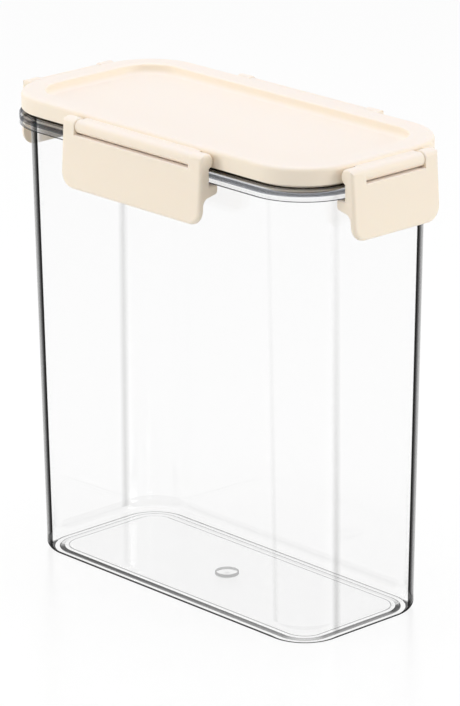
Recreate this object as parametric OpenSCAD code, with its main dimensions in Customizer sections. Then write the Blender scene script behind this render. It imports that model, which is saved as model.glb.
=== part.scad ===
// Tall clear dry-food keeper with a four-side snap-lock lid.
// Units are millimetres. +Z is up, X runs along the long side, the front faces -Y.
// The origin is the middle of the footprint, on the surface that the keeper stands on.
//
// The container, the lid and the seal are each one cross-section carried round a rounded
// rectangle. A section is drawn in (offset, height): offset 0 is the outer face of the
// wall at the flange, and positive offsets lie outside it. A latch's section is drawn in
// (v, w) from its hinge axis: v points out of the keeper and w points up.

/* [Container] */
// Outer length of the container at its foot
base_len = 205; // [170:1:240]
// Outer depth of the container at its foot
base_dep = 89; // [80:1:120]
// Corner radius at the foot
base_corner_r = 22.5; // [18:0.5:30]
// Height of the flange's lower edge above the table
body_h = 227.7; // [120:0.1:280]
// How far each side leans out over body_h
draft = 4; // [1:0.1:6]
// Wall thickness
wall = 2.8; // [2:0.1:3.2]
// Floor thickness
floor_t = 3; // [2:0.1:5]
// Radius between floor and wall inside
floor_fillet = 5; // [2:0.5:8]
// Radius of the outer bottom edge
base_edge_r = 4; // [1:0.5:5]
// Width of the foot ring that the container stands on
foot_w = 7.8; // [6:0.1:12]
// Depth of the shallow recess inside the foot ring
foot_recess = 1; // [0.5:0.1:2]
// Diameter of the gate dimple under the floor
gate_d = 12; // [6:0.5:20]
// Depth of the gate dimple
gate_depth = 1.2; // [0.4:0.1:1.5]

/* [Rim of the container] */
// Reach of the flange beyond the wall
flange_reach = 5.6; // [4.8:0.1:8]
// Full height of the flange
flange_h = 5.9; // [4.5:0.1:8]
// Thickness of the flange's shelf
shelf_t = 3.3; // [2:0.1:4]
// Thickness of the skirt that hangs from the shelf
skirt_t = 2; // [1.5:0.1:3]
// Radius of the flange's outer edges
flange_edge_r = 0.7; // [0.3:0.1:0.9]
// Height of the sealing lip above the flange
lip_h = 3.4; // [3:0.1:6]
// Radius of the sealing lip's edges
lip_edge_r = 0.8; // [0.3:0.1:0.9]

/* [Lid] */
// Reach of the lid's side beyond the wall
lid_reach = 4.5; // [4:0.1:6]
// Height of the lid's side
lid_h = 8.9; // [8:0.1:14]
// Gap between the flange and the lid's lower edge
lid_gap = 1.8; // [0.5:0.1:2.2]
// Radius of the lid's upper outer edge
lid_edge_r = 2.4; // [0.5:0.1:3]
// Radius of the lid's lower outer edge
lid_low_r = 0.5; // [0.2:0.1:0.9]
// Width of the raised rim round the lid
rim_w = 12.5; // [10:0.5:16]
// Depth of the recessed top panel below the rim
recess_h = 5; // [3:0.1:5.2]
// Radius at the foot of the recess's side
recess_fillet = 3.8; // [1:0.1:4]
// Radius of the rim's inner edge
rim_inner_r = 1.2; // [0.4:0.1:2]
// Thickness of the recessed panel and of its side
panel_t = 2; // [1.6:0.1:3]
// Thickness of the lid's outer skirt
lid_skirt_t = 2; // [1.5:0.1:2.2]
// Height of the wide mouth of the skirt, below the seal groove
skirt_step_h = 2.8; // [1:0.1:3]
// Roof thickness over the seal groove
roof_t = 2.5; // [1.5:0.1:3]
// Depth of the plug ring below the sealing lip's top
plug_drop = 7.6; // [4:0.1:14]
// Thickness of the plug ring
plug_t = 2.2; // [1.2:0.1:2.6]
// Clearance between the plug ring and the inside of the wall
plug_gap = 0.6; // [0.3:0.1:1.2]
// Clearance between the sealing lip and the outer side of the groove
groove_gap = 1.3; // [0.5:0.1:1.4]

/* [Seal] */
// Thickness of the seal's band under the groove's roof
seal_band_t = 1.6; // [0.8:0.1:2]
// Thickness of the seal's foot, which presses on the container's rim
seal_foot_t = 1.3; // [0.8:0.1:1.6]
// Thickness of the seal's back, which joins the band and the foot
seal_back_t = 1.4; // [0.8:0.1:2]
// Radius of the seal's outer corners
seal_edge_r = 0.5; // [0.1:0.1:0.7]
// Clearance on each side of the seal in its groove
seal_gap = 0.1; // [0.05:0.05:0.3]

/* [Hinges] */
// Radius of the barrels on the lid
barrel_r = 3.5; // [2.8:0.1:3.8]
// Depth of the hinge axis below the lid's top
axis_drop = 5.2; // [4.6:0.1:7]
// Thickness of the web that carries a barrel
web_t = 2.8; // [2:0.1:3.2]
// Radius of the trunnions on the latches
pin_r = 1.6; // [1.2:0.1:2]
// Length of a trunnion
pin_len = 4; // [2:0.5:8]
// Radial clearance of a trunnion in its bore
pin_fit = 0.05; // [0.02:0.01:0.1]
// Gap between a barrel's end and the ear beside it
end_gap = 0.3; // [0.2:0.1:0.6]

/* [Latches] */
// Length of the front and back latches
long_latch = 101; // [70:0.2:140]
// Length of the left and right latches
short_latch = 57.8; // [44:0.2:64]
// Width of the ears at a latch's ends
ear_w = 9; // [8:0.1:12]
// Radius of the ears round the hinge axis
ear_r = 4.2; // [3.9:0.1:4.8]
// Thickness of the cheeks on both sides of an ear's hollow
cheek_t = 2.4; // [2:0.1:3]
// Distance from the hinge axis to a latch's lower edge
latch_drop = 31.3; // [26:0.1:40]
// How far a latch's face leans out at its lower edge
latch_lean = 1.9; // [0:0.1:3]
// Thickness of a latch's plate beside the flange
plate_t = 3; // [2.4:0.1:3.4]
// Thickness of a latch's finger lip
lip_t = 2.5; // [2:0.1:3]
// Radius of the face's lower corners
corner_r = 8; // [3:0.5:10]
// Radius of the face's edges
edge_r = 2; // [0.5:0.1:2.2]
// How far the hook reaches in under the flange
hook_bite = 2.8; // [1.5:0.1:3.4]
// Height of the hook's tip
hook_h = 4.9; // [3.6:0.1:6]
// How much lower the hook's root is than its tip
hook_flare = 0.8; // [0:0.1:2]
// Radius between the hook's underside and the finger lip
hook_fillet = 4; // [2:0.5:6]
// Clearance between the hook and the flange's lower edge
hook_gap = 0.3; // [0.3:0.1:0.6]
// Clearance between a latch's knuckles and the lid's side
latch_gap = 0.4; // [0.3:0.1:1]
// Clearance between a latch's ears and the flange
ear_gap = 1.8; // [0.4:0.1:2.4]
// Slit between a barrel and the latch plate under it
slit = 0.3; // [0.3:0.1:1.5]
// Radius of the plate's upper edge, under the barrel
notch_r = 0.8; // [0.3:0.1:1.2]
// Thickness of the ribs behind a latch's plate
rib_t = 1.5; // [1:0.1:2.5]
// Distance between the ribs
rib_pitch = 16; // [10:1:30]

/* [Hidden] */
$fn = 96;
// Overshoot of cutting tools, and overlap of shapes that are joined.
over = 0.5;
cream = [0.96, 0.91, 0.83];
clear_tint = [0.86, 0.91, 0.93, 0.35];
seal_white = [0.93, 0.93, 0.91];

// The mouth line is the outer wall's outline at the flange.
mouth_x = base_len / 2 + draft;
mouth_y = base_dep / 2 + draft;
mouth_r = base_corner_r + draft;
// Offset of the core plates that fill the middle of the floor and of the lid's panel.
core_off = 4 - mouth_r;

// Levels, from the table up.
z_floor = foot_recess + floor_t;
// The wall is upright at the foot, up to just over the fillets, and leans out from there.
z_draft = max(z_floor + floor_fillet, base_edge_r) + 1;
z_shelf = body_h + flange_h;
z_lip = z_shelf + lip_h;
z_lid = z_shelf + lid_gap;
z_top = z_lid + lid_h;
z_panel = z_top - recess_h;
z_roof = z_top - roof_t;
z_plug = z_lip - plug_drop;
z_axis = z_top - axis_drop;

// Offsets from the mouth line.
function wall_off(z) = -draft * (body_h - max(z, z_draft)) / (body_h - z_draft);
plug_outer = min(0, wall_off(z_plug)) - wall - plug_gap;
plug_inner = plug_outer - plug_t;
rim_in = lid_reach - rim_w;
hinge_off = lid_reach + latch_gap + ear_r;

// Latch section. The face is cut a little way into the knuckles, and leans out from there.
face_cut = 0.15;
face_off = ear_r - face_cut;
face_tilt = atan(latch_lean / latch_drop);
function face_v(w, inset) = (face_off - inset - w * sin(face_tilt)) / cos(face_tilt);
w_notch = -barrel_r - slit;
w_hook_top = body_h - hook_gap - z_axis;
w_hook_low = w_hook_top - hook_h;
w_hook_root = w_hook_low - hook_flare;
v_hook_tip = flange_reach - hook_bite - hinge_off;
v_ear_in = flange_reach + ear_gap - hinge_off;
v_plate_in = ear_r - plate_t;

// ---------------------------------------------------------------- shared shapes

// A rectangle between two opposite corners.
module box2(x0, y0, x1, y1) {
    translate([x0, y0]) square([x1 - x0, y1 - y0]);
}

// What lies between a corner and the arc of radius r that rounds it: cut away, it rounds
// an edge, and added, it fills an inside corner. (x, y) is the arc's centre, and sx and sy
// point from there to the corner.
module corner(x, y, r, sx, sy) {
    e = r + over;
    difference() {
        translate([x + sx * e / 2, y + sy * e / 2]) square(e, center = true);
        translate([x, y]) circle(r);
    }
}

// Carries the children's (offset, height) section round the mouth line.
module carry_round() {
    cx = mouth_x - mouth_r;
    cy = mouth_y - mouth_r;
    for (half = [0, 180]) rotate(half) {
        translate([cx, cy]) rotate_extrude(angle = 90) translate([mouth_r, 0]) children();
        translate([-cx, cy]) rotate(90)
            rotate_extrude(angle = 90) translate([mouth_r, 0]) children();
        translate([cx, cy]) rotate([90, 0, 0])
            linear_extrude(2 * cy) translate([mouth_r, 0]) children();
        translate([-cx, cy]) rotate([90, 0, 90])
            linear_extrude(2 * cx) translate([mouth_r, 0]) children();
    }
}

// A rounded rectangle at an offset from the mouth line.
module mouth_plate(off) {
    r = mouth_r + off;
    cx = mouth_x - mouth_r;
    cy = mouth_y - mouth_r;
    square([2 * cx, 2 * (cy + r)], center = true);
    square([2 * (cx + r), 2 * cy], center = true);
    for (sx = [-1, 1], sy = [-1, 1]) translate([sx * cx, sy * cy]) circle(r);
}

// ---------------------------------------------------------------- container

module wall_section() {
    difference() {
        polygon([
            [-draft, 0], [-draft, z_draft], [0, body_h], [0, z_lip], [-wall, z_lip],
            [-wall, body_h], [-draft - wall, z_draft], [-draft - wall, 0]
        ]);
        corner(-lip_edge_r, z_lip - lip_edge_r, lip_edge_r, 1, 1);
        corner(lip_edge_r - wall, z_lip - lip_edge_r, lip_edge_r, -1, 1);
    }
}

// The floor's edge, the foot ring under it and the fillet inside.
module floor_section() {
    foot_in = -draft - foot_w;
    foot_r = foot_recess / 2;
    box2(core_off, foot_recess, -draft - wall / 2, z_floor);
    difference() {
        box2(foot_in, 0, -draft - wall / 2, z_floor);
        corner(foot_in + foot_r, foot_r, foot_r, -1, -1);
    }
    corner(-draft - wall - floor_fillet, z_floor + floor_fillet, floor_fillet, 1, -1);
}

module flange_section() {
    skirt_in = flange_reach - skirt_t;
    low_r = flange_edge_r / 2;
    difference() {
        union() {
            box2(-wall / 2, z_shelf - shelf_t, flange_reach, z_shelf);
            box2(skirt_in, body_h, flange_reach, z_shelf);
        }
        corner(flange_reach - flange_edge_r, z_shelf - flange_edge_r, flange_edge_r, 1, 1);
        corner(flange_reach - low_r, body_h + low_r, low_r, 1, -1);
        corner(skirt_in + low_r, body_h + low_r, low_r, -1, -1);
    }
}

module container_section() {
    difference() {
        union() {
            wall_section();
            floor_section();
            flange_section();
        }
        corner(-draft - base_edge_r, base_edge_r, base_edge_r, 1, -1);
    }
}

// Round dimple under the middle of the floor, with the gate's nub left standing in it.
module gate_dimple() {
    translate([0, 0, foot_recess - over]) difference() {
        cylinder(d = gate_d, h = gate_depth + over);
        cylinder(d = gate_d / 5, h = gate_depth + 2 * over);
    }
}

module container_body() {
    color(clear_tint) difference() {
        union() {
            carry_round() container_section();
            translate([0, 0, foot_recess]) linear_extrude(floor_t) mouth_plate(core_off);
        }
        gate_dimple();
    }
}

// ---------------------------------------------------------------- lid

// The recess in the lid's top, or with grow > 0 the tray round it.
module recess_section(grow) {
    fillet_x = rim_in - recess_fillet;
    fillet_z = z_panel + recess_fillet;
    box2(core_off - over, z_panel - grow, fillet_x, z_top + over);
    box2(fillet_x - over, fillet_z, rim_in + grow, z_top + over);
    translate([fillet_x, fillet_z]) circle(recess_fillet + grow);
}

module seal_groove_section() {
    box2(plug_outer, z_plug - over, groove_gap, z_roof);
    box2(plug_outer, z_plug - over, lid_reach - lid_skirt_t, z_lid + skirt_step_h);
}

module lid_section() {
    lead_in = plug_t / 2;
    difference() {
        union() {
            intersection() {
                recess_section(panel_t);
                box2(core_off, z_plug, lid_reach, z_top);
            }
            box2(plug_inner, z_plug, plug_outer, z_top);
            box2(rim_in, z_roof - over, lid_reach, z_top);
            box2(plug_outer, z_lid, lid_reach, z_top);
        }
        recess_section(0);
        seal_groove_section();
        corner(rim_in + rim_inner_r, z_top - rim_inner_r, rim_inner_r, -1, 1);
        corner(lid_reach - lid_edge_r, z_top - lid_edge_r, lid_edge_r, 1, 1);
        corner(plug_outer - lead_in, z_plug + lead_in, lead_in, 1, -1);
        corner(lid_reach - lid_low_r, z_lid + lid_low_r, lid_low_r, 1, -1);
    }
}

// One hinge barrel with its web and two blind bores, along X, centred on the hinge axis.
module barrel(len) {
    web_top = barrel_r - 0.2;
    web_in = lid_reach - lid_skirt_t / 2 - hinge_off;
    bore_len = pin_len + end_gap;
    rotate([90, 0, 90]) difference() {
        translate([0, 0, -len / 2]) linear_extrude(len) {
            circle(barrel_r);
            box2(web_in, web_top - web_t, 0, web_top);
        }
        for (end = [-1, 1]) translate([0, 0, end * len / 2])
            cylinder(r = pin_r + pin_fit, h = 2 * bore_len, center = true);
    }
}

// Places the children on one side: 0 front, 1 right, 2 back, 3 left. The children's +Y
// points out of that side, and their origin is the middle of the hinge axis.
module on_side(side) {
    out = (side % 2 == 0 ? mouth_y : mouth_x) + hinge_off;
    rotate(90 * side) translate([0, -out, z_axis]) rotate(180) children();
}

function latch_len(side) = side % 2 == 0 ? long_latch : short_latch;

module lid() {
    color(cream) union() {
        carry_round() lid_section();
        translate([0, 0, z_panel - panel_t]) linear_extrude(panel_t) mouth_plate(core_off);
        for (side = [0 : 3]) on_side(side) barrel(latch_len(side) - 2 * (ear_w + end_gap));
    }
}

// ---------------------------------------------------------------- seal

// A channel on its side: the slot lets the foot give when it meets the container's rim.
module seal_section() {
    in = plug_outer + seal_gap;
    out = groove_gap - seal_gap;
    difference() {
        box2(in, z_lip, out, z_roof);
        box2(in + seal_back_t, z_lip + seal_foot_t, out + over, z_roof - seal_band_t);
        for (z = [z_lip + seal_edge_r, z_roof - seal_edge_r]) {
            sz = z < z_lip + 2 * seal_edge_r ? -1 : 1;
            corner(in + seal_edge_r, z, seal_edge_r, -1, sz);
            corner(out - seal_edge_r, z, seal_edge_r, 1, sz);
        }
    }
}

module lid_seal() {
    color(seal_white) carry_round() seal_section();
}

// ---------------------------------------------------------------- latches

// Plate, hook and finger lip as seen from the end.
module hook_section() {
    top_r = 1;
    low_r = 1.8;
    fillet_w = w_hook_root - hook_fillet;
    fillet_v = face_v(fillet_w, lip_t) - hook_fillet;
    w_low = -latch_drop - over;
    polygon([
        [face_v(w_hook_root, -over), w_hook_root], [face_v(w_low, -over), w_low],
        [face_v(w_low, lip_t), w_low], [face_v(w_hook_root, lip_t), w_hook_root]
    ]);
    box2(v_plate_in, w_hook_root, face_v(w_hook_root, -over), w_notch);
    corner(fillet_v, fillet_w, hook_fillet, 1, 1);
    difference() {
        polygon([
            [v_hook_tip, w_hook_top], [v_plate_in + over, w_hook_top],
            [v_plate_in + over, w_hook_root], [fillet_v, w_hook_root],
            [v_hook_tip + low_r, w_hook_low], [v_hook_tip, w_hook_low]
        ]);
        corner(v_hook_tip + top_r, w_hook_top - top_r, top_r, -1, 1);
        corner(v_hook_tip + low_r, w_hook_low + low_r, low_r, -1, -1);
    }
}

// An ear as seen from the end: a round knuckle on a straight leg that reaches the hook.
module ear_section() {
    circle(ear_r);
    box2(v_ear_in, w_hook_top - over, face_v(w_hook_top, -over), 0);
}

// The outer shape of a latch: a slab whose face leans out, with rounded lower corners
// and a rounded edge all round the face.
module face_slab(len) {
    depth = 4 * ear_r;
    half = len / 2 - corner_r;
    low = corner_r - latch_drop;
    high = 2 * ear_r;
    module edge() difference() {
        box2(0, -depth, corner_r, 0);
        corner(corner_r - edge_r, -edge_r, edge_r, 1, 1);
    }
    rotate([face_tilt, 0, 0]) translate([0, face_off, 0]) {
        for (flip = [0, 1]) mirror([flip, 0, 0]) translate([half, 0, low]) {
            linear_extrude(high - low) edge();
            rotate([-90, 0, 0]) rotate_extrude(angle = 90) edge();
        }
        translate([-half, 0, low]) rotate([0, 90, 0]) linear_extrude(2 * half) edge();
        translate([-half, -depth, low]) cube([2 * half, depth, high - low]);
    }
}

// What the notch takes off the plate's upper edge, as seen from the end. The arc's centre
// stands a little way out, because an arc that only touched the leaning face isn't exact.
module notch_edge_section() {
    w = w_notch - notch_r;
    corner(face_v(w, notch_r) + face_cut / 3, w, notch_r, 1, 1);
}

// Upright ribs behind the plate, spaced evenly about the middle.
module latch_ribs(notch) {
    count = floor((2 * notch - rib_t) / rib_pitch);
    for (i = [0 : count - 1])
        translate([(i - (count - 1) / 2) * rib_pitch - rib_t / 2, v_ear_in, w_hook_top - over])
            cube([rib_t, v_plate_in - v_ear_in + over, w_notch - w_hook_top + over]);
}

module latch(len) {
    notch = len / 2 - ear_w;
    v_back = -2 * ear_r;
    color(cream) union() {
        difference() {
            intersection() {
                rotate([90, 0, 90]) translate([0, 0, -len / 2]) linear_extrude(len) {
                    hook_section();
                    ear_section();
                }
                face_slab(len);
            }
            // notch for the barrel
            translate([-notch, v_back, w_notch]) cube([2 * notch, 4 * ear_r, 4 * ear_r]);
            rotate([90, 0, 90]) translate([0, 0, -notch])
                linear_extrude(2 * notch) notch_edge_section();
            // space behind the plate, between the ears, but for the ribs
            difference() {
                translate([-notch, v_back, w_hook_top])
                    cube([2 * notch, v_plate_in - v_back, -w_hook_top]);
                latch_ribs(notch);
            }
            // hollows in the ears, open towards the rim
            for (sx = [-1, 1]) translate([sx * (notch + ear_w / 2), 0, 0])
                translate([cheek_t - ear_w / 2, v_back, w_hook_top])
                    cube([ear_w - 2 * cheek_t, v_plate_in - v_back, pin_r - w_hook_top]);
        }
        // trunnions
        for (sx = [-1, 1]) translate([sx * (notch - pin_len), 0, 0])
            rotate([0, sx * 90, 0]) cylinder(r = pin_r, h = pin_len + cheek_t / 2);
    }
}

module front_latch() on_side(0) latch(long_latch);
module right_latch() on_side(1) latch(short_latch);
module back_latch() on_side(2) latch(long_latch);
module left_latch() on_side(3) latch(short_latch);

container_body();
lid();
lid_seal();
front_latch();
back_latch();
left_latch();
right_latch();
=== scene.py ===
"""Looks of a tall clear dry-food keeper with a cream snap-lock lid, built round its CAD frame.

Everything is in metres in the CAD frame: +Z up, X along the long side, the front faces -Y.
Names and lists that say so are in millimetres, as in the part's drawing; MM makes metres of them.
"""

import math

import bpy
from mathutils import Matrix, Vector


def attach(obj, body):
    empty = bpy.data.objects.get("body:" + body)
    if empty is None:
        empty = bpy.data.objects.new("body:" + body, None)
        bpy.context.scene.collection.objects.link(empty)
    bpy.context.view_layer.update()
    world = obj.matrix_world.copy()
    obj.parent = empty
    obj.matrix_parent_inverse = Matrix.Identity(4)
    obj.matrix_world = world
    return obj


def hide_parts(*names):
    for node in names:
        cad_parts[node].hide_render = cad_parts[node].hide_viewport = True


bl_info = {
    "name": "Snap-lock dry-food keeper",
    "version": (1, 0, 0),
    "blender": (4, 5, 0),
    "location": "View3D > Sidebar > Keeper",
    "description": "Clear container, cream lid, seal, four latches and a bright studio",
    "category": "Object",
}

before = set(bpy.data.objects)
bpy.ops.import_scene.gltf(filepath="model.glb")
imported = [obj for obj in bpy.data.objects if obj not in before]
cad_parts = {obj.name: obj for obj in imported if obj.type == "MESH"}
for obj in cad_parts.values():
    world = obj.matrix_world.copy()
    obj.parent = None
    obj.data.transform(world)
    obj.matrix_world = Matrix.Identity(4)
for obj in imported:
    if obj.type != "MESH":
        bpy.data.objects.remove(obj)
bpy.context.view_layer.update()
MM = 0.001

# ------------------------------------------------------------------ sizes in millimetres

# The mouth line is the outer wall's outline at the flange's lower edge.
MOUTH_X, MOUTH_Y, MOUTH_R, BODY_TOP = 106.5, 48.5, 26.5, 227.7
# The container's wall, lip, and flange: its shelf under the lid, its skirt's reach and underside.
WALL, LIP_R, LIP_TOP = 2.8, 0.8, 237.0
SHELF, FLANGE_REACH, FLANGE_LOW = 233.6, 5.6, 230.3
# The floor's two faces and its flat core's corner radius, the wall's lower end and draft, and
# the radius of the foot's round edge.
FLOOR_LOW, FLOOR_HIGH, CORE_R, WALL_LOW, DRAFT, FOOT_R = 1, 4, 4, 10, 4, 4
# Half lengths of the lid's barrels, what they gain at each end, and how far the lid's side
# stands out from the mouth line.
LONG_BARREL, SHORT_BARREL, BARREL_GAIN, LID_REACH = 41.2, 19.6, 0.15, 4.6
# A latch's ears, and the heights of its hook's top and of its plate's upper edge.
EAR_WIDTH, HOOK_TOP, NOTCH_TOP = 9.0, 227.3, 235.25
# The ledge behind a latch plate's upper edge: from and to, out from the mouth line and up.
LEDGE_OUT, LEDGE_UP, LEDGE_ROUND, LEDGE_END = (7.6, 10.6), (234.0, 235.1), 0.3, 0.2
# Roundings of the ears' outer and inner sides.
EAR_ROUND, NOTCH_ROUND, ROUND_SEGMENTS = 1.4, 0.9, 4
# The gate dimple under the floor.
DIMPLE_R, DIMPLE_DEPTH, DIMPLE_ROUND, NUB_SHARE = 6, 1.2, 0.35, 0.2
# Points this close are one point, or lie on the line that picks them.
MERGED, NEAR = 0.002, 0.01

SHARP = math.radians(35)  # edges sharper than this stay sharp

# ------------------------------------------------------------------ studio, in metres and watts

FLOOR_SIZE, FLOOR_DROP = 8.0, 0.0002
# The world's strength for light that falls on things and for what is seen of it.
WORLD_LIGHT, WORLD_SEEN = 0.42, 1.0
# Each soft lamp: its place, size and power, and whether gloss mirrors it. The left one's mirror
# image would whiten the lid's top in views from behind.
LAMP_TARGET = (0, 0, 0.2)
LAMPS = {
    "overhead_softbox": ((-0.1, 0.1, 1.4), (1.2, 1.2), 6.9, True),
    "left_softbox": ((-1.05, -1.6, 0.8), (0.8, 1.0), 16.5, False),
    "right_softbox": ((1.85, 0.85, 0.8), (0.8, 1.0), 16.5, True),
}
# The camera: focal length in pixels of the picture's height, place in millimetres, and azimuth,
# elevation and roll in degrees.
FOCAL_PIXELS, PICTURE_PIXELS, SENSOR_HEIGHT = 4315.74, 706, 24.0
CAMERA_PLACE = (1505.21, -1390.11, 797.40)
CAMERA_ANGLES = (47.214, 18.326, -0.3715)

# ------------------------------------------------------------------ colours and nodes


def linear(code):
    """An sRGB hex colour as linear RGBA."""
    parts = [int(code[i : i + 2], 16) / 255 for i in (1, 3, 5)]
    return [c / 12.92 if c <= 0.04045 else ((c + 0.055) / 1.055) ** 2.4 for c in parts] + [1.0]


def add_node(tree, kind, settings=None, inputs=None, links=None):
    """Adds a node with its settings, its sockets' values and links from other nodes' outputs."""
    node = tree.nodes.new(kind)
    for name, value in (settings or {}).items():
        setattr(node, name, value)
    for name, value in (inputs or {}).items():
        node.inputs[name].default_value = value
    for name, source in (links or {}).items():
        tree.links.new(source, node.inputs[name])
    return node


def calculate(tree, operation, *values):
    """A Math node's result from numbers and other nodes' outputs."""
    node = add_node(tree, "ShaderNodeMath", {"operation": operation})
    for socket, value in zip(node.inputs, values):
        if isinstance(value, bpy.types.NodeSocket):
            tree.links.new(value, socket)
        else:
            socket.default_value = value
    return node.outputs[0]


def mix(tree, factor, first, second):
    """A Mix Shader node's result."""
    node = add_node(tree, "ShaderNodeMixShader")
    for socket, source in zip(node.inputs, (factor, first, second)):
        tree.links.new(source, socket)
    return node.outputs[0]


def new_material(name):
    """An empty node material and its tree."""
    material = bpy.data.materials.new(name)
    material.use_nodes = True
    material.node_tree.nodes.clear()
    return material, material.node_tree


def object_place(tree):
    """Object coordinates, in metres."""
    return add_node(tree, "ShaderNodeTexCoord").outputs["Object"]


def finish_material(tree, shader):
    add_node(tree, "ShaderNodeOutputMaterial", links={"Surface": shader})


# ------------------------------------------------------------------ settings


class KeeperSettings(bpy.types.PropertyGroup):
    """Colours and fineness that a user may change before building."""

    # Painted light: this paler colour is painted on the faces of the lid and latches that point up,
    # for the light and sheen from above; the lid's sides take the latch colour.
    top_light_colour: bpy.props.StringProperty(
        name="Lid colour", description="sRGB hex colour of the lid", default="#FDF1E8"
    )
    latch_colour: bpy.props.StringProperty(
        name="Latch colour", description="sRGB hex colour of the latches", default="#F9EBD8"
    )
    seal_colour: bpy.props.StringProperty(
        name="Seal colour", description="sRGB hex colour of the silicone seal", default="#D9DAD6"
    )
    corner_steps: bpy.props.IntProperty(
        name="Corner steps", description="Faces round each corner", default=48, min=8, max=96
    )


# ------------------------------------------------------------------ materials


def let_light_in(tree, shader, colour):
    """Lets lamps and soft light through a clear surface, which plain glass would shade."""
    path = add_node(tree, "ShaderNodeLightPath").outputs
    passing = calculate(tree, "MAXIMUM", path["Is Shadow Ray"], path["Is Diffuse Ray"])
    open_air = add_node(tree, "ShaderNodeBsdfTransparent", inputs={"Color": linear(colour)})
    return mix(tree, passing, shader, open_air.outputs[0])


# How much light each surface of the clear plastic passes, from facing (0) to edge-on (1); any share
# below 1 is painted shade.
CLEAR_SHADES = ((0.0, 1.0), (1.0, 1.0))
# Light that enters a corner within a wall's thickness of its outline is turned back inside the
# plastic, towards the dark sides of the studio; here that dark band along a corner is painted
# shade.
CORNER_SHADES = (
    (0.0, 1.0),
    (0.545, 1.0),
    (0.56, 0.1),
    (0.607, 0.1),
    (0.653, 0.25),
    (0.70, 0.42),
    (0.759, 0.6),
    (1.0, 0.85),
)
# Painted shade: the rounded bottom edge is painted dark along its outline.
EDGE_SHADES = ((0.0, 1.0), (0.53, 1.0), (0.59, 0.1), (0.85, 0.12), (1.0, 0.3))
# Painted shade: the step inside the foot ring is painted dark where it is seen through the front of
# the foot.
STEP_SHADES = (
    (0.0, 0.95),
    (0.50, 0.9),
    (0.545, 0.4),
    (0.575, 0.08),
    (0.63, 0.08),
    (0.68, 0.8),
    (0.74, 1.0),
    (1.0, 1.0),
)
# Painted shade: the line beside it is painted grey all round, and dark at the same angle.
FOOT_LINE_SHADES = (
    (0.0, 0.46),
    (0.58, 0.46),
    (0.62, 0.1),
    (0.66, 0.1),
    (0.70, 0.46),
    (1.0, 0.46),
)
# Painted shade: the fillet round the inside of the floor shows a faint painted band on the far
# side.
FILLET_SHADES = ((0.0, 0.95), (0.26, 0.95), (0.37, 1.0), (1.0, 1.0))


def painted_shade_line(tree, place, axis, at, drift, half_width, low, high):
    """The light that one line of painted shade lets through, 1 away from it. It crosses the axis at
    a place at the bottom and drifts from it by the top, in millimetres as its half-width, and takes
    a share of the light at the bottom and another at the top."""

    def rising(start, end):
        """A value that rises from the floor to the body's top."""
        return add_node(
            tree,
            "ShaderNodeMapRange",
            inputs={"From Max": BODY_TOP * MM, "To Min": start, "To Max": end},
            links={"Value": place[2]},
        ).outputs["Result"]

    gap = calculate(tree, "SUBTRACT", place[axis], rising(at * MM, (at + drift) * MM))
    return add_node(
        tree,
        "ShaderNodeMapRange",
        {"interpolation_type": "SMOOTHSTEP"},
        inputs={"From Min": 0.0, "From Max": half_width * MM, "To Max": 1.0},
        links={"Value": calculate(tree, "ABSOLUTE", gap), "To Min": rising(1.0 - low, 1.0 - high)},
    ).outputs["Result"]


def clear_copolyester(name, tint="#FEFEFE", shades=CLEAR_SHADES, lines=()):
    """Clear copolyester, polished: a straight view through and Fresnel gloss on top. The shades and
    the tint paint shade into the view through, for light bent and shaded inside the plastic. The
    lines are the values of painted shade lines where a side meets a corner."""
    material, tree = new_material(name)
    facing = add_node(tree, "ShaderNodeLayerWeight", inputs={"Blend": 0.5}).outputs["Facing"]
    ramp = add_node(tree, "ShaderNodeValToRGB", links={"Fac": facing})
    elements = ramp.color_ramp.elements
    elements[0].position, elements[1].position = shades[0][0], shades[-1][0]
    for position, shade in shades[1:-1]:
        elements.new(position)
    for element, (position, shade) in zip(elements, shades):
        element.color = [shade * c for c in linear(tint)[:3]] + [1.0]
    shade = ramp.outputs["Color"]
    if lines:
        parts = add_node(tree, "ShaderNodeSeparateXYZ", links={"Vector": object_place(tree)})
        place = parts.outputs
        # Painted shade lines: only the corner nearest the front right and the one across from it
        # get them.
        shown = calculate(tree, "LESS_THAN", calculate(tree, "MULTIPLY", place[0], place[1]), 0.0)
        for line in lines:
            shade = add_node(
                tree,
                "ShaderNodeMix",
                {"data_type": "RGBA", "blend_type": "MULTIPLY"},
                links={"Factor": shown, "A": shade, "B": painted_shade_line(tree, place, *line)},
            ).outputs["Result"]
    clear = add_node(tree, "ShaderNodeBsdfTransparent", links={"Color": shade})
    # The gloss takes the same painted shade as the view through.
    gloss = add_node(
        tree, "ShaderNodeBsdfGlossy", inputs={"Roughness": 0.02}, links={"Color": shade}
    )
    # Fresnel gloss of the same strength on both sides of the wall: 4% facing, all of it edge-on.
    steep = calculate(tree, "POWER", facing, 5.0)
    fresnel = add_node(tree, "ShaderNodeMapRange", inputs={"To Min": 0.04}, links={"Value": steep})
    wall = mix(tree, fresnel.outputs["Result"], clear.outputs[0], gloss.outputs["BSDF"])
    finish_material(tree, let_light_in(tree, wall, "#F2F2F2"))
    return material


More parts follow.
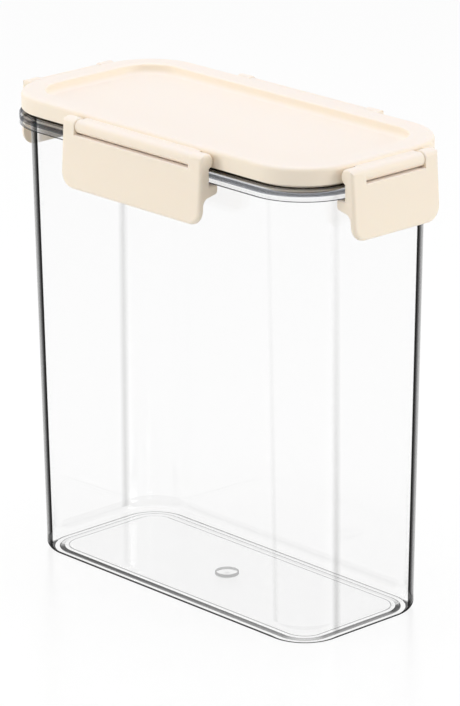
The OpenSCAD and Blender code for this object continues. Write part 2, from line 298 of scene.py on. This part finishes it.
def satin_moulded_polypropylene(name, colour, lit_top_colour):
    """Cream polypropylene, moulded satin: soft broad gloss and a fine spark-eroded grain. Its faces
    that point up are painted paler, as painted light and sheen from above."""
    material, tree = new_material(name)
    place = object_place(tree)
    # Spark-eroded mould grain, about 0.35 mm a grain.
    grain = add_node(
        tree, "ShaderNodeTexNoise", inputs={"Scale": 2800.0, "Detail": 2.0}, links={"Vector": place}
    )
    # Slow mottling of the filled plastic, about 60 mm a patch.
    patches = add_node(
        tree, "ShaderNodeTexNoise", inputs={"Scale": 16.0, "Detail": 2.0}, links={"Vector": place}
    )
    tone = add_node(
        tree,
        "ShaderNodeMix",
        {"data_type": "RGBA"},
        links={"Factor": patches.outputs["Fac"]},
    )
    # Painted light: the normal's upward part, from a steep side to a nearly level top, where the
    # paler top colour is painted.
    normal = add_node(tree, "ShaderNodeNewGeometry").outputs["Normal"]
    upward = add_node(
        tree,
        "ShaderNodeMapRange",
        {"interpolation_type": "SMOOTHSTEP"},
        inputs={"From Min": 0.35, "From Max": 0.98},
        links={"Value": add_node(tree, "ShaderNodeSeparateXYZ", links={0: normal}).outputs["Z"]},
    )
    base = add_node(
        tree, "ShaderNodeMix", {"data_type": "RGBA"}, links={0: upward.outputs["Result"]}
    )
    base.inputs["A"].default_value = linear(colour)
    base.inputs["B"].default_value = linear(lit_top_colour)
    # The darker patches keep 98.5% of the colour.
    dull = add_node(
        tree,
        "ShaderNodeMix",
        {"data_type": "RGBA", "blend_type": "MULTIPLY"},
        inputs={"Factor": 1.0},
    )
    tree.links.new(base.outputs["Result"], dull.inputs["A"])
    dull.inputs["B"].default_value = (0.985, 0.985, 0.985, 1.0)
    tree.links.new(base.outputs["Result"], tone.inputs["A"])
    tree.links.new(dull.outputs["Result"], tone.inputs["B"])
    # The grain's hollows are a little more matt than its tops, and 0.05 mm deep at most.
    gloss = add_node(
        tree,
        "ShaderNodeMapRange",
        inputs={"To Min": 0.38, "To Max": 0.5},
        links={"Value": grain.outputs["Fac"]},
    )
    bump = add_node(
        tree,
        "ShaderNodeBump",
        inputs={"Strength": 0.1, "Distance": 0.00005},
        links={"Height": grain.outputs["Fac"]},
    )
    shader = add_node(
        tree,
        "ShaderNodeBsdfPrincipled",
        inputs={
            "IOR": 1.49,
            "Subsurface Weight": 0.15,
            "Subsurface Radius": (0.004, 0.003, 0.002),
            "Subsurface Scale": 1.0,
        },
        links={
            "Base Color": tone.outputs["Result"],
            "Roughness": gloss.outputs["Result"],
            "Normal": bump.outputs["Normal"],
        },
    )
    finish_material(tree, shader.outputs["BSDF"])
    return material


def soft_silicone(name, colour):
    """Translucent white silicone rubber, moulded matt."""
    material, tree = new_material(name)
    place = object_place(tree)
    # Faint milky clouding, about 3 mm a patch.
    bloom = add_node(
        tree, "ShaderNodeTexNoise", inputs={"Scale": 300.0, "Detail": 3.0}, links={"Vector": place}
    )
    tone = add_node(
        tree, "ShaderNodeMix", {"data_type": "RGBA"}, links={"Factor": bloom.outputs["Fac"]}
    )
    tone.inputs["A"].default_value = linear(colour)
    tone.inputs["B"].default_value = [c * 0.95 for c in linear(colour)[:3]] + [1.0]
    shader = add_node(
        tree,
        "ShaderNodeBsdfPrincipled",
        inputs={"Roughness": 0.55, "IOR": 1.41, "Subsurface Weight": 0.2},
        links={"Base Color": tone.outputs["Result"]},
    )
    finish_material(tree, shader.outputs["BSDF"])
    return material


# ------------------------------------------------------------------ modelling by operators


def deselect_all():
    """Leaves edit mode and deselects every object."""
    if bpy.context.object and bpy.context.object.mode != "OBJECT":
        bpy.ops.object.mode_set(mode="OBJECT")
    bpy.ops.object.select_all(action="DESELECT")


def make_active(obj):
    """Selects just this object."""
    deselect_all()
    obj.select_set(True)
    bpy.context.view_layer.objects.active = obj


def first_point(name, place):
    """A new mesh object with a single selected vertex, left in edit mode."""
    deselect_all()
    bpy.ops.mesh.primitive_plane_add(size=MM, location=(0, 0, 0))
    obj = bpy.context.object
    obj.name = obj.data.name = name
    bpy.ops.object.mode_set(mode="EDIT")
    bpy.ops.mesh.select_mode(type="VERT")
    bpy.ops.mesh.merge(type="CENTER")
    bpy.ops.transform.translate(value=place)
    return obj


def draw_on(places, start):
    """Extrudes the selected vertex through the places, as a profile is drawn by hand."""
    last = Vector(start)
    for place in places:
        step = Vector(place) - last
        bpy.ops.mesh.extrude_region_move(TRANSFORM_OT_translate={"value": step})
        last = Vector(place)


def arc(x, y, r, start, turn, steps=8):
    """Points of an arc in degrees, from its start over its turn."""
    angles = [math.radians(start + turn * i / steps) for i in range(steps + 1)]
    return [(x + r * math.cos(a), y + r * math.sin(a)) for a in angles]


def merge_doubles():
    """In edit mode, merges the points that lie on each other."""
    bpy.ops.mesh.select_all(action="SELECT")
    bpy.ops.mesh.remove_doubles(threshold=MERGED * MM)


def close_and_smooth(obj):
    """Merges doubles, points the faces outwards and smooths all but the sharp edges."""
    bpy.ops.object.mode_set(mode="EDIT")
    merge_doubles()
    bpy.ops.mesh.normals_make_consistent(inside=False)
    bpy.ops.object.mode_set(mode="OBJECT")
    even_normals(obj)


def even_normals(obj):
    """Smooths all but the sharp edges, with the larger faces leading the shading."""
    make_active(obj)
    bpy.ops.object.shade_smooth_by_angle(angle=SHARP)
    modifier = obj.modifiers.new("Even shading", "WEIGHTED_NORMAL")
    modifier.keep_sharp = True
    modifier.weight = 80
    bpy.ops.object.modifier_apply(modifier=modifier.name)


def carried_round(name, section, steps):
    """Draws a section of (offset, height) points and carries it round the mouth line: a spin
    at each corner, an extrusion along each side. Offsets are outwards from the mouth line."""
    cx, cy = (MOUTH_X - MOUTH_R) * MM, (MOUTH_Y - MOUTH_R) * MM
    places = [Vector((cx + (MOUTH_R + o) * MM, cy, z * MM)) for o, z in section]
    obj = first_point(name, places[0])
    draw_on(places[1:], places[0])
    merge_doubles()
    bpy.ops.mesh.select_all(action="SELECT")
    corners = [(cx, cy), (-cx, cy), (-cx, -cy), (cx, -cy)]
    runs = [(-2 * cx, 0, 0), (0, -2 * cy, 0), (2 * cx, 0, 0), (0, 2 * cy, 0)]
    for (x, y), run in zip(corners, runs):
        bpy.ops.mesh.spin(
            steps=steps, angle=-math.pi / 2, center=(x, y, 0), axis=(0, 0, 1), dupli=False
        )
        bpy.ops.mesh.extrude_region_move(TRANSFORM_OT_translate={"value": run})
    merge_doubles()
    return obj


def select_edges(obj, wanted):
    """In edit mode, selects just the edges whose both ends wanted(place) picks."""
    bpy.ops.mesh.select_mode(type="EDGE")
    bpy.ops.mesh.select_all(action="DESELECT")
    bpy.ops.object.mode_set(mode="OBJECT")
    points = [wanted(vertex.co) for vertex in obj.data.vertices]
    for edge in obj.data.edges:
        edge.select = all(points[i] for i in edge.vertices)
    bpy.ops.object.mode_set(mode="EDIT")


def round_sharp_edges(obj, width, segments, wanted):
    """Rounds the sharp edges whose both ends wanted(place) picks, in edit mode."""
    bpy.ops.mesh.select_mode(type="EDGE")
    bpy.ops.mesh.select_all(action="DESELECT")
    bpy.ops.mesh.edges_select_sharp(sharpness=SHARP)
    bpy.ops.object.mode_set(mode="OBJECT")
    points = [wanted(vertex.co) for vertex in obj.data.vertices]
    edges = [e for e in obj.data.edges if e.select and all(points[i] for i in e.vertices)]
    for part in (obj.data.vertices, obj.data.edges, obj.data.polygons):
        part.foreach_set("select", [False] * len(part))
    for edge in edges:
        edge.select = True
        for i in edge.vertices:
            obj.data.vertices[i].select = True
    bpy.ops.object.mode_set(mode="EDIT")
    bpy.ops.mesh.bevel(
        offset=width * MM, segments=segments, profile=0.5, affect="EDGES", clamp_overlap=False
    )


def merged_copy(node, name):
    """A copy of a CAD node's mesh with its doubles merged, as a new piece."""
    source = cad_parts[node]
    obj = bpy.data.objects.new(name, source.data.copy())
    bpy.context.scene.collection.objects.link(obj)
    obj.data.materials.clear()
    make_active(obj)
    bpy.ops.mesh.customdata_custom_splitnormals_clear()
    bpy.ops.object.mode_set(mode="EDIT")
    merge_doubles()
    bpy.ops.object.mode_set(mode="OBJECT")
    return obj


def dress(obj, body, slot, material, *nodes):
    """Gives a finished piece its material, its body and the node it stands for; the slot is not
    used.
    """
    obj.data.materials.clear()
    obj.data.materials.append(material)
    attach(obj, body)
    if nodes:
        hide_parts(*nodes)


# ------------------------------------------------------------------ pieces


class KEEPER_OT_container(bpy.types.Operator):
    """Draws the clear container's section and carries it round its corners and sides"""

    bl_idname = "keeper.container"
    bl_label = "Container"

    def execute(self, context):
        # The section is a list of points: out from the mouth line, and up. The core is the
        # outline that the flat floor is filled within.
        core = CORE_R - MOUTH_R
        fillet, lip_low = 5, LIP_TOP - LIP_R
        inner = -DRAFT - WALL - fillet
        # Over the floor and up the inside wall to the lip.
        inside = [(core, FLOOR_HIGH), (inner, FLOOR_HIGH)]
        inside += arc(inner, FLOOR_HIGH + fillet, fillet, -90, 90)[1:]
        inside += [(-DRAFT - WALL, WALL_LOW), (-WALL, BODY_TOP), (-WALL, lip_low)]
        inside += arc(LIP_R - WALL, lip_low, LIP_R, 180, -90)[1:]
        # Over the lip and the shelf, and round the flange's skirt.
        outside = [(-LIP_R, LIP_TOP)] + arc(-LIP_R, lip_low, LIP_R, 90, -90)[1:] + [(0, SHELF)]
        outside += [(2.6, SHELF)] + arc(4.9, 232.9, 0.7, 90, -90)
        outside += [(FLANGE_REACH, 231.7), (FLANGE_REACH, 230.4)]
        outside += arc(5.25, 228.05, 0.35, 0, -90) + arc(3.95, 228.05, 0.35, -90, -90)
        # Under the flange, down the wall and round the foot to the recess under the floor.
        outside += [(3.6, FLANGE_LOW), (0.05, FLANGE_LOW), (0, BODY_TOP), (-DRAFT, WALL_LOW)]
        outside += arc(-DRAFT - FOOT_R, FOOT_R, FOOT_R, 0, -90, 16)
        outside += [(-10.4, 0), (-11.0, 0.03), (-13.1, 0.33), (-15.0, 0.43), (-15.6, 0.47)]
        outside += [(-16.6, FLOOR_LOW), (core, FLOOR_LOW)]
        corner_steps = context.scene.keeper.corner_steps
        obj = carried_round("container_shell", inside + outside, corner_steps)
        select_edges(obj, lambda place: self.in_core(place, core, FLOOR_HIGH))
        bpy.ops.mesh.edge_face_add()
        self.gate_dimple(obj, core)
        close_and_smooth(obj)
        self.finish(obj)
        return {"FINISHED"}

    def in_core(self, place, core, height):
        """Whether a place lies on the floor's core outline, at a height in millimetres."""
        x = max(abs(place.x) / MM - MOUTH_X + MOUTH_R, 0)
        y = max(abs(place.y) / MM - MOUTH_Y + MOUTH_R, 0)
        on_line = abs(math.hypot(x, y) - MOUTH_R - core) < NEAR
        return on_line and abs(place.z / MM - height) < NEAR

    def on_dimple(self, place, height):
        """Whether a place lies on the dimple's wall, at a height in metres."""
        on_wall = abs(math.hypot(place.x, place.y) - DIMPLE_R * MM) < NEAR * MM
        return on_wall and abs(place.z - height) < NEAR * MM

    def gate_dimple(self, obj, core):
        """Draws the round dimple under the floor, with the gate's nub left standing in it."""
        radius, depth, recess = DIMPLE_R * MM, DIMPLE_DEPTH * MM, FLOOR_LOW * MM
        bpy.ops.mesh.select_all(action="DESELECT")
        bpy.ops.mesh.primitive_circle_add(
            vertices=64, radius=radius, fill_type="NOTHING", location=(0, 0, recess)
        )
        bpy.ops.mesh.extrude_region_move(TRANSFORM_OT_translate={"value": (0, 0, depth)})
        bpy.ops.mesh.extrude_region_move(TRANSFORM_OT_translate={"value": (0, 0, 0)})
        bpy.ops.transform.resize(value=(NUB_SHARE, NUB_SHARE, 1), center_override=(0, 0, 0))
        bpy.ops.mesh.extrude_region_move(TRANSFORM_OT_translate={"value": (0, 0, -depth)})
        bpy.ops.mesh.edge_face_add()
        select_edges(
            obj,
            lambda place: self.in_core(place, core, FLOOR_LOW) or self.on_dimple(place, recess),
        )
        bpy.ops.mesh.fill(use_beauty=True)
        for level in (recess, recess + depth):
            select_edges(obj, lambda place, z=level: self.on_dimple(place, z))
            bpy.ops.mesh.bevel(offset=DIMPLE_ROUND * MM, segments=3, affect="EDGES")

    def finish(self, obj):
        """Gives each band of the container's surface its own clear material and its painted shade.
        """
        # The painted shade lines' values, in the order their function takes them: axis 0 is X and 1
        # is Y.
        right_line = (1, MOUTH_R - MOUTH_Y, -4.7, 3.6, 0.27, 0.09)
        left_line = (1, MOUTH_Y - MOUTH_R, 4.7, 3.6, 0.25, 0.25)
        front_line = (0, MOUTH_X - MOUTH_R, 0.0, 2.6, 0.1, 0.03)
        side_lines = (right_line, left_line)
        floor, wall, corner, inside, fillet, edge, step, line = range(8)
        gap, ledge, brow, rim, skirt, hem, ring = range(8, 15)
        # Painted shade: the corner, fillet, bottom edge, foot step and foot line tables, and the
        # dark and grey tints of the shelf, brow, edge, hem and recess line, paint the shade under
        # the lid and of light bent inside the clear plastic; the floor, wall, inside and skirt stay
        # clear but for the painted shade lines.
        materials = (
            clear_copolyester("clear_floor"),
            clear_copolyester("clear_wall", lines=side_lines),
            clear_copolyester("clear_corner", shades=CORNER_SHADES, lines=side_lines),
            clear_copolyester("clear_inside", lines=(front_line,)),
            clear_copolyester("clear_inner_fillet", shades=FILLET_SHADES),
            clear_copolyester("clear_bottom_edge", shades=EDGE_SHADES),
            clear_copolyester("clear_foot_step", shades=STEP_SHADES),
            clear_copolyester("clear_foot_line", shades=FOOT_LINE_SHADES),
            clear_copolyester("clear_shelf_shade", "#44403C"),
            clear_copolyester("clear_shelf_top", "#9A9CA0"),
            clear_copolyester("clear_shelf_brow", "#D4D5D7"),
            clear_copolyester("clear_shelf_edge", "#A2A4A8"),
            clear_copolyester("clear_skirt", "#FCFCFC"),
            clear_copolyester("clear_skirt_hem", "#606060"),
            clear_copolyester("clear_recess_line", "#A8A8A8"),
        )
        dress(obj, "container", "clear_body", materials[0], "container_body")
        for material in materials[1:]:
            obj.data.materials.append(material)
        # Offsets from the mouth line, from and to, heights from and to, and the material there.
        bands = (
            (-15.7, -15.0, -1, 1.1, ring),
            (-13.1, -11.0, -1, 1.1, step),
            (-11.0, -10.3, -1, 1.1, line),
            (-8.1, -3.9, -1, 4.0, edge),
            (-11.8, -6.7, 4.01, 9.1, fillet),
            (0.0, 2.6, 233.5, 233.7, gap),
            (2.6, 4.9, 233.5, 233.7, ledge),
            (4.9, 5.7, 232.9, 233.7, brow),
            (5.5, 5.7, 231.7, 232.9, ledge),
            (5.5, 5.7, 230.4, 231.7, rim),
            (0.1, 3.6, 230.2, 230.4, brow),
            (5.2, 5.7, 227.6, 228.1, hem),
            (3.9, 5.2, 227.6, 227.8, ledge),
            (3.5, 5.7, 227.6, 230.4, skirt),
        )
        for face in obj.data.polygons:
            x, y, z = (abs(c) / MM for c in face.center)
            across, along = x - MOUTH_X + MOUTH_R, y - MOUTH_Y + MOUTH_R
            off = math.hypot(max(across, 0), max(along, 0)) - MOUTH_R
            found = [
                index
                for near, far, low, high, index in bands
                if near < off < far and low < z < high
            ]
            level, upright = abs(face.normal.z) > 0.99, abs(face.normal.z) < 0.2
            # The gate dimple's wall and roundings take the recess line's painted grey.
            if z > FLOOR_LOW + NEAR and 2 < math.hypot(x, y) < 6.4 and not level:
                found = [ring]
            if found:
                face.material_index = found[0]
            elif z > FLOOR_HIGH and upright:
                outward = face.normal.x * face.center.x * (across > 0)
                outward += face.normal.y * face.center.y * (along > 0)
                at_corner = across > 0 and along > 0
                face.material_index = inside if outward < 0 else corner if at_corner else wall


class KEEPER_OT_lid(bpy.types.Operator):
    """Shades the lid's moulding smoothly and gives it its satin cream plastic"""

    bl_idname = "keeper.lid"
    bl_label = "Lid"

    def execute(self, context):
        settings = context.scene.keeper
        obj = merged_copy("lid", "lid_moulding")
        self.lengthen_barrels(obj)
        even_normals(obj)
        material = satin_moulded_polypropylene(
            "lid_satin_polypropylene", settings.latch_colour, settings.top_light_colour
        )
        dress(obj, "lid", "cream_lid", material, "lid")
        return {"FINISHED"}

    def lengthen_barrels(self, obj):
        """Brings the barrels' ends closer to the ears, as tight as they look."""
        for axis, half in ((0, LONG_BARREL), (1, SHORT_BARREL)):
            for vertex in obj.data.vertices:
                place = vertex.co[axis] / MM
                beyond = abs(vertex.co[1 - axis]) / MM > (MOUTH_Y, MOUTH_X)[axis] + LID_REACH
                if beyond and abs(abs(place) - half) < 2 * NEAR:
                    vertex.co[axis] += math.copysign(BARREL_GAIN * MM, place)


class KEEPER_OT_seal(bpy.types.Operator):
    """Shades the seal smoothly and gives it its silicone"""

    bl_idname = "keeper.seal"
    bl_label = "Seal"

    def execute(self, context):
        settings = context.scene.keeper
        obj = merged_copy("lid_seal", "seal_ring")
        even_normals(obj)
        dress(obj, "lid", "seal", soft_silicone("matt_silicone", settings.seal_colour), "lid_seal")
        return {"FINISHED"}


class KEEPER_OT_latches(bpy.types.Operator):
    """Rounds the four latches' edges and gives them their satin cream plastic"""

    bl_idname = "keeper.latches"
    bl_label = "Latches"

    def execute(self, context):
        settings = context.scene.keeper
        material = satin_moulded_polypropylene(
            "latch_satin_polypropylene", settings.latch_colour, settings.top_light_colour
        )
        # Each latch's node, the axis it faces along, and which way.
        latches = (
            ("front_latch", 1, -1),
            ("back_latch", 1, 1),
            ("left_latch", 0, -1),
            ("right_latch", 0, 1),
        )
        for node, axis, sign in latches:
            obj = merged_copy(node, node + "_moulding")
            self.round_ends(obj, 1 - axis)
            self.ledge(obj, axis, sign)
            even_normals(obj)
            dress(obj, node, "cream_latch", material, node)
        return {"FINISHED"}

    def round_ends(self, obj, along):
        """Rounds the outer and inner sides of a latch's ears."""
        end = max(abs(vertex.co[along]) for vertex in obj.data.vertices)
        inner = end - EAR_WIDTH * MM
        near = 5 * NEAR * MM
        bpy.ops.object.mode_set(mode="EDIT")
        bpy.ops.mesh.select_all(action="SELECT")
        bpy.ops.mesh.dissolve_limited(angle_limit=math.radians(0.5))
        roundings = ((EAR_ROUND, end, HOOK_TOP), (NOTCH_ROUND, inner, NOTCH_TOP))
        for width, place_on, above in roundings:
            round_sharp_edges(
                obj,
                width,
                ROUND_SEGMENTS,
                lambda place, u=place_on, z=above: abs(abs(place[along]) - u) < near
                and place.z > z * MM,
            )
        bpy.ops.object.mode_set(mode="OBJECT")

    def ledge(self, obj, axis, sign):
        """Adds the ledge behind a plate's upper edge, which closes the view through the slit."""
        length = max(abs(vertex.co[1 - axis]) for vertex in obj.data.vertices) - EAR_WIDTH * MM
        mouth = (MOUTH_X, MOUTH_Y)[axis] * MM
        low, high, bottom, top = (c * MM for c in LEDGE_OUT + LEDGE_UP)
        centre = [0, 0, (bottom + top) / 2]
        centre[axis] = sign * (mouth + (low + high) / 2)
        size = [0, 0, top - bottom]
        size[axis], size[1 - axis] = high - low, 2 * length - 2 * LEDGE_END * MM
        bpy.ops.object.mode_set(mode="EDIT")
        bpy.ops.mesh.select_all(action="DESELECT")
        bpy.ops.mesh.primitive_cube_add(size=1, location=centre, scale=size)
        bpy.ops.mesh.bevel(offset=LEDGE_ROUND * MM, segments=2, affect="EDGES")
        bpy.ops.object.mode_set(mode="OBJECT")


# ------------------------------------------------------------------ studio


def seen_mask(tree):
    """1 for what the camera and the gloss see, 0 for the light that falls on things."""
    path = add_node(tree, "ShaderNodeLightPath").outputs
    return calculate(tree, "MAXIMUM", path["Is Camera Ray"], path["Is Glossy Ray"])


class KEEPER_OT_stage(bpy.types.Operator):
    """Sets the pale floor, the soft lamps, the bright world and the camera"""

    bl_idname = "keeper.stage"
    bl_label = "Studio"

    def execute(self, context):
        self.floor()
        self.world(context)
        self.lamps()
        self.camera(context)
        context.scene.view_settings.view_transform = "Standard"
        return {"FINISHED"}

    def floor(self):
        """A floor of plain pale paper, just under the object."""
        deselect_all()
        bpy.ops.mesh.primitive_plane_add(size=FLOOR_SIZE, location=(0, 0, -FLOOR_DROP))
        floor = bpy.context.object
        floor.name = "floor"
        material, tree = new_material("pale_paper_floor")
        paper = add_node(tree, "ShaderNodeBsdfDiffuse", inputs={"Color": linear("#F4F4F4")})
        # What is seen of the floor is mostly its own white, so that the shadow stays light.
        shaded = add_node(tree, "ShaderNodeBsdfDiffuse", inputs={"Color": linear("#6C6C6C")})
        glow = add_node(
            tree, "ShaderNodeEmission", inputs={"Color": linear("#FFFFFF"), "Strength": 0.9}
        )
        white = add_node(tree, "ShaderNodeAddShader")
        tree.links.new(shaded.outputs[0], white.inputs[0])
        tree.links.new(glow.outputs[0], white.inputs[1])
        # It mirrors the object faintly and softly.
        sheen = add_node(tree, "ShaderNodeBsdfGlossy", inputs={"Roughness": 0.24})
        white = add_node(
            tree,
            "ShaderNodeMixShader",
            inputs={0: 0.12},
            links={1: white.outputs[0], 2: sheen.outputs[0]},
        )
        finish_material(tree, mix(tree, seen_mask(tree), paper.outputs[0], white.outputs[0]))
        floor.data.materials.append(material)

    def world(self, context):
        """White all round, dimmer as a light than as it is seen."""
        world = bpy.data.worlds.new("bright_studio")
        context.scene.world = world
        world.use_nodes = True
        tree = world.node_tree
        tree.nodes.clear()
        white = linear("#FFFFFF")
        light, seen = (
            add_node(
                tree, "ShaderNodeBackground", inputs={"Color": white, "Strength": strength}
            ).outputs[0]
            for strength in (WORLD_LIGHT, WORLD_SEEN)
        )
        surface = mix(tree, seen_mask(tree), light, seen)
        add_node(tree, "ShaderNodeOutputWorld", links={"Surface": surface})

    def lamps(self):
        """Soft lamps, each turned towards the object's upper part."""
        for name, (place, size, power, mirrored) in LAMPS.items():
            light = bpy.data.lights.new(name, "AREA")
            light.shape = "RECTANGLE"
            light.size, light.size_y = size
            light.energy = power
            obj = bpy.data.objects.new(name, light)
            bpy.context.scene.collection.objects.link(obj)
            obj.location = place
            aim = Vector(LAMP_TARGET) - Vector(place)
            obj.rotation_euler = aim.to_track_quat("-Z", "Y").to_euler()
            obj.visible_glossy = mirrored

    def camera(self, context):
        """The camera that was fitted to the photo's edges."""
        camera = bpy.data.cameras.new("photo_camera")
        camera.sensor_fit = "VERTICAL"
        camera.sensor_height = SENSOR_HEIGHT
        camera.lens = FOCAL_PIXELS / PICTURE_PIXELS * SENSOR_HEIGHT
        camera.clip_start, camera.clip_end = 0.05, 20.0
        obj = bpy.data.objects.new("photo_camera", camera)
        context.scene.collection.objects.link(obj)
        az, el, roll = (math.radians(a) for a in CAMERA_ANGLES)
        back = Vector((math.sin(az) * math.cos(el), -math.cos(az) * math.cos(el), math.sin(el)))
        right = (-back).cross(Vector((0, 0, 1))).normalized()
        up = right.cross(-back)
        across = right * math.cos(roll) + up * math.sin(roll)
        upward = up * math.cos(roll) - right * math.sin(roll)
        turn = Matrix((across, upward, back)).transposed().to_4x4()
        obj.matrix_world = Matrix.Translation(Vector(CAMERA_PLACE) * MM) @ turn
        context.scene.camera = obj


class KEEPER_PT_panel(bpy.types.Panel):
    """Lists the keeper's settings and the steps that build it"""

    bl_idname = "KEEPER_PT_panel"
    bl_label = "Keeper"
    bl_space_type = "VIEW_3D"
    bl_region_type = "UI"
    bl_category = "Keeper"

    def draw(self, context):
        column = self.layout.column(align=True)
        for name in ("top_light_colour", "latch_colour", "seal_colour", "corner_steps"):
            column.prop(context.scene.keeper, name)
        for operator in OPERATORS:
            column.operator(operator.bl_idname)


OPERATORS = (
    KEEPER_OT_container,
    KEEPER_OT_lid,
    KEEPER_OT_seal,
    KEEPER_OT_latches,
    KEEPER_OT_stage,
)
CLASSES = (KeeperSettings, *OPERATORS, KEEPER_PT_panel)


def register():
    for cls in CLASSES:
        bpy.utils.register_class(cls)
    bpy.types.Scene.keeper = bpy.props.PointerProperty(type=KeeperSettings)


def unregister():
    del bpy.types.Scene.keeper
    for cls in reversed(CLASSES):
        bpy.utils.unregister_class(cls)


def main():
    """Builds every piece and the studio."""
    register()
    bpy.ops.keeper.container()
    bpy.ops.keeper.lid()
    bpy.ops.keeper.seal()
    bpy.ops.keeper.latches()
    bpy.ops.keeper.stage()


if __name__ == "__main__":
    main()
